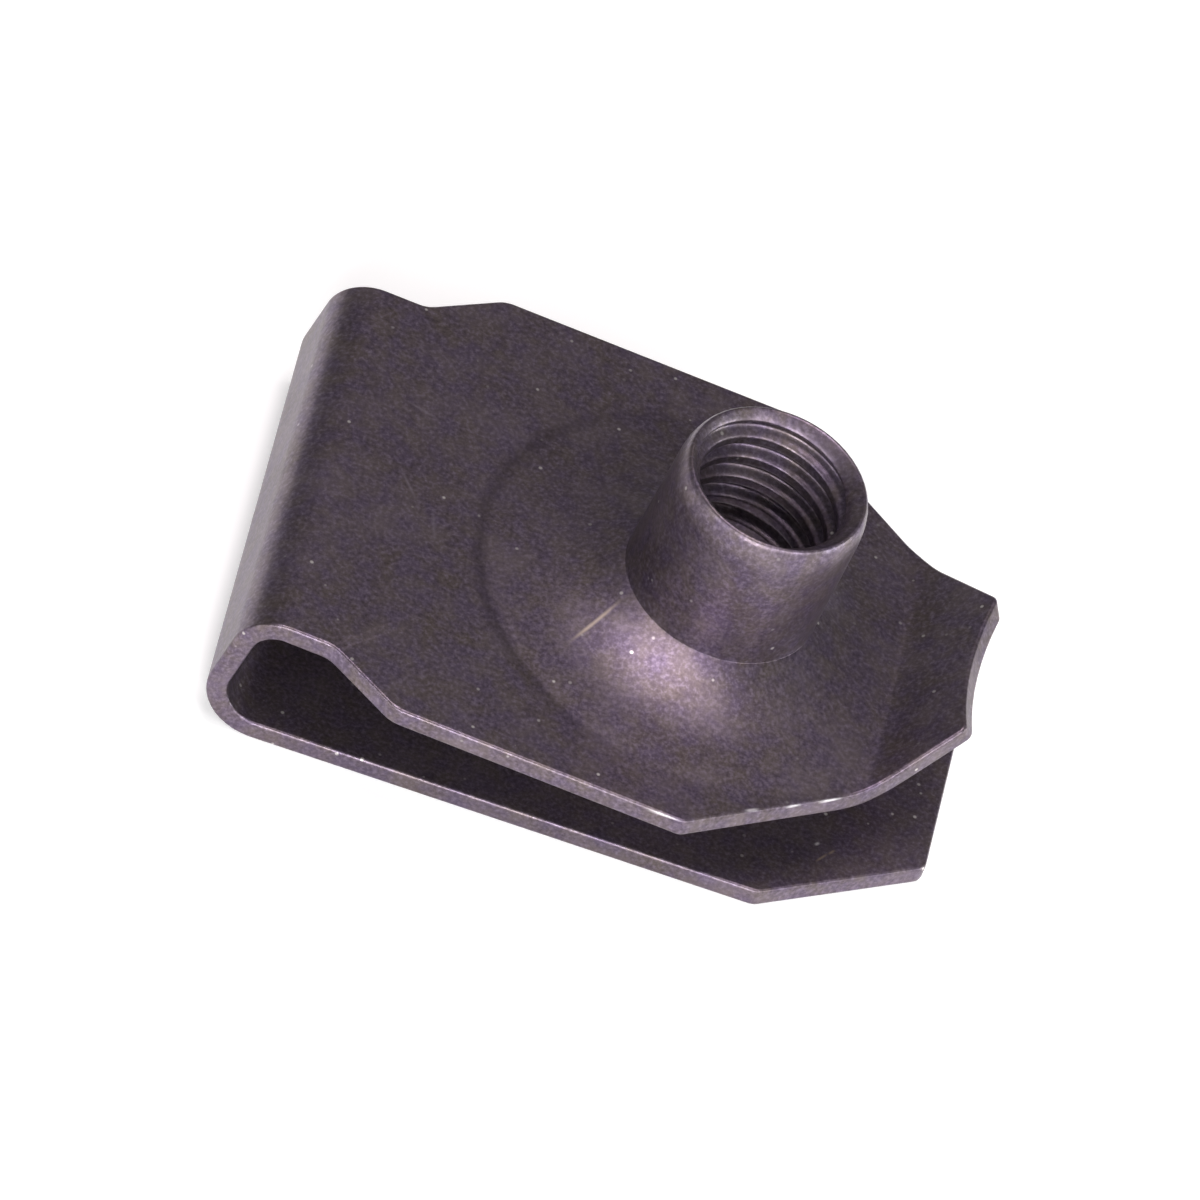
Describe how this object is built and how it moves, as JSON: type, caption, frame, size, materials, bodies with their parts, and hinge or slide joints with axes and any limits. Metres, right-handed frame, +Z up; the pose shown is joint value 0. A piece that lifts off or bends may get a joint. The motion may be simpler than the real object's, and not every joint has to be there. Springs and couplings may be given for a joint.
{
  "type": "u clip speed nut",
  "caption": "Folded spring-steel clip nut: two leaves grip a panel's edge, and a drawn, threaded barrel on the upper leaf takes a screw through the lower leaf's free hole.",
  "frame": {"origin": "centre of the lower leaf's free hole, on the underside", "axes": "+Z up, away from the lower leaf that it rests on; +X to the open end, which slides over the panel's edge; the part is symmetric about the XZ plane"},
  "size_m": [0.0242, 0.0192, 0.0111],
  "materials": {
    "spring_steel": "black phosphate over spring steel, dull, with a faint violet cast"
  },
  "bodies": {
    "root": {"u_clip": "spring_steel"}
  },
  "joints": []
}
